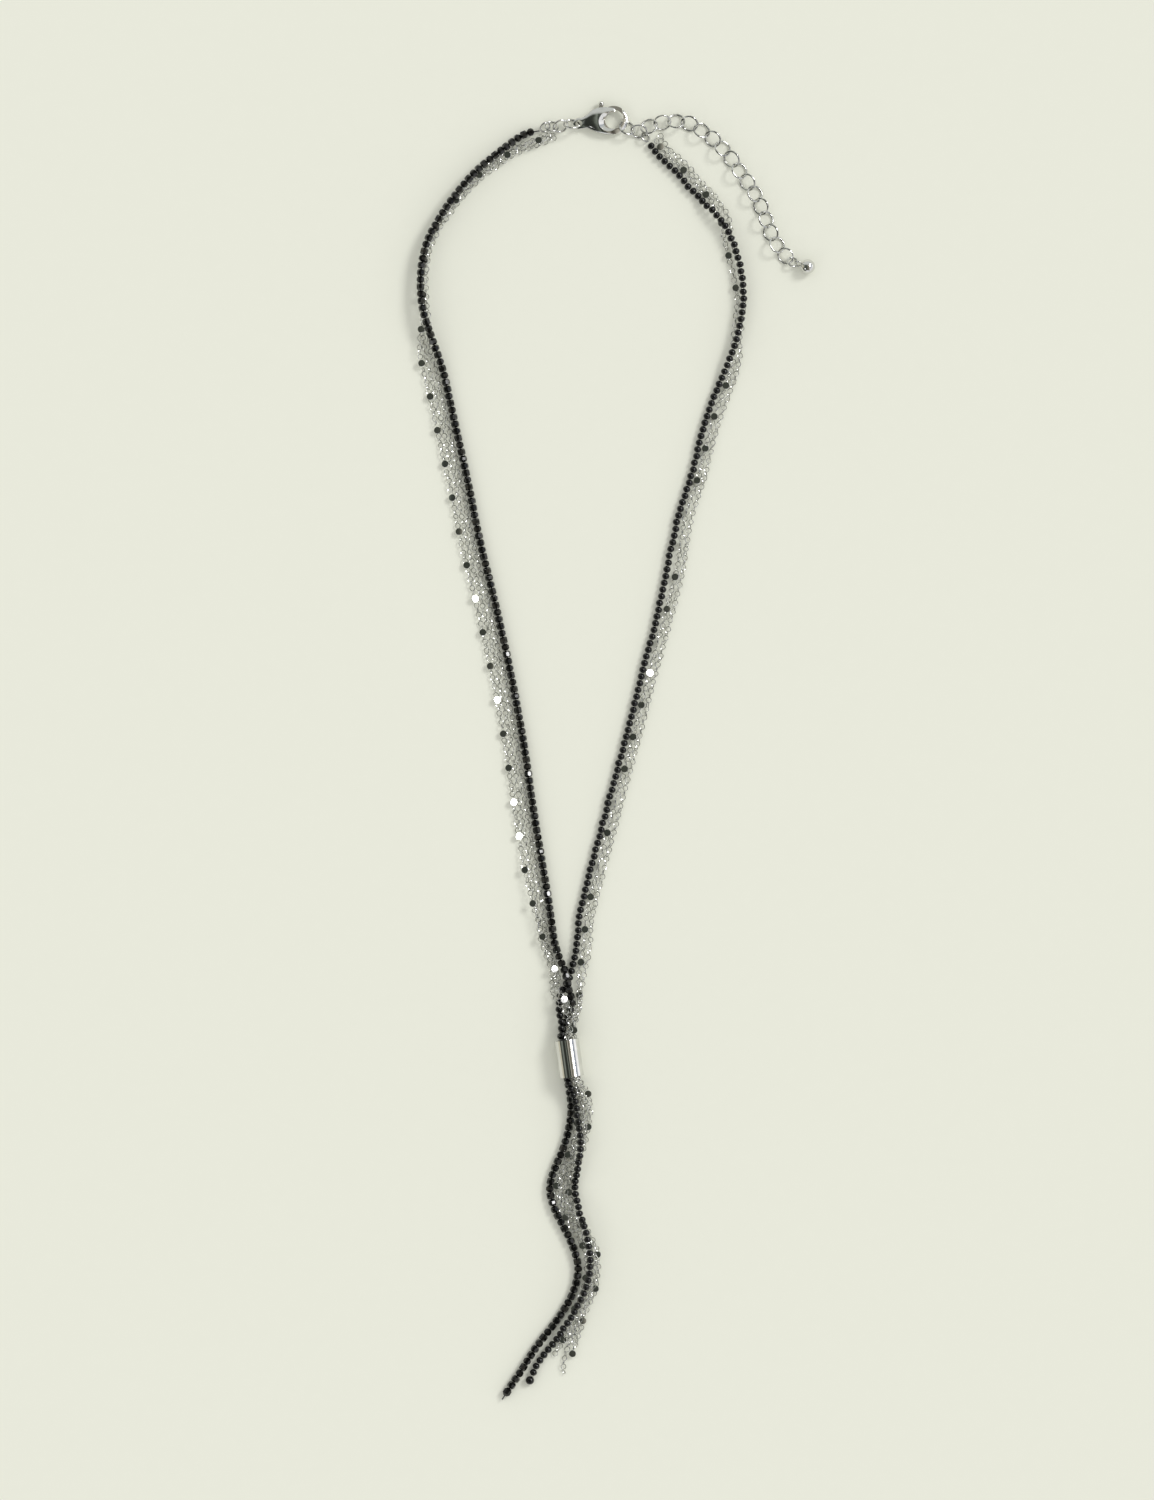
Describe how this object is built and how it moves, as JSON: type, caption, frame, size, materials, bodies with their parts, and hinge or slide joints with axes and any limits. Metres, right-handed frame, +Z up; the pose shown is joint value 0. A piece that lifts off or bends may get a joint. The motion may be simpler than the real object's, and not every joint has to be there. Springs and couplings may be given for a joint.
{
  "type": "lariat necklace",
  "caption": "Lariat necklace of black beads and fine silver chains drawn through a slider tube, with lobster clasp and ring extender, lying flat.",
  "frame": {"origin": "on the table, under the middle of the whole necklace's box", "axes": "+Y from the tail to the clasp, +X to the right seen from above, +Z up from the table"},
  "size_m": [0.1114, 0.3636, 0.0069],
  "materials": {
    "faceted_glass": "faceted, glossy black",
    "round_glass": "smooth, glossy black",
    "thread": "fine beading thread",
    "chain_metal": "bright silver plate",
    "polished_metal": "polished silver plate",
    "ring_metal": "bright silver plate"
  },
  "bodies": {
    "necklace": {"faceted_beads_neck": "faceted_glass", "faceted_beads_tail": "faceted_glass", "faceted_end_bead": "faceted_glass", "round_beads_neck": "round_glass", "round_beads_tail": "round_glass", "round_end_bead": "round_glass", "faceted_thread": "thread", "left_chain_1": "chain_metal", "left_chain_2": "chain_metal", "left_chain_3": "chain_metal", "right_chain_1": "chain_metal", "right_chain_2": "chain_metal", "slider_tube": "polished_metal", "clasp_body": "polished_metal", "end_ball": "polished_metal", "clasp_eye_ring": "ring_metal", "left_gather_ring": "ring_metal", "left_link": "ring_metal", "faceted_end_loop": "ring_metal", "hook_ring": "ring_metal", "right_gather_ring": "ring_metal", "round_end_loop": "ring_metal", "extender_link_1": "ring_metal", "extender_link_2": "ring_metal", "extender_link_3": "ring_metal", "extender_link_4": "ring_metal", "extender_link_5": "ring_metal", "extender_link_6": "ring_metal", "extender_link_7": "ring_metal", "extender_link_8": "ring_metal", "extender_link_9": "ring_metal", "extender_link_10": "ring_metal", "extender_link_11": "ring_metal", "extender_link_12": "ring_metal", "extender_link_13": "ring_metal", "extender_link_14": "ring_metal", "extender_link_15": "ring_metal", "extender_link_16": "ring_metal", "extender_end_ring": "ring_metal"},
    "lever": {"clasp_lever": "polished_metal"}
  },
  "joints": [
    {"name": "lever_hinge", "type": "hinge", "parent": "necklace", "child": "lever", "pos_m": [-0.0041, 0.1779, 0.0016], "axis": [0, 0, -1], "range_deg": [0, 18], "stiffness_Nm_per_rad": 0.0002, "springref_deg": -8.59}
  ]
}
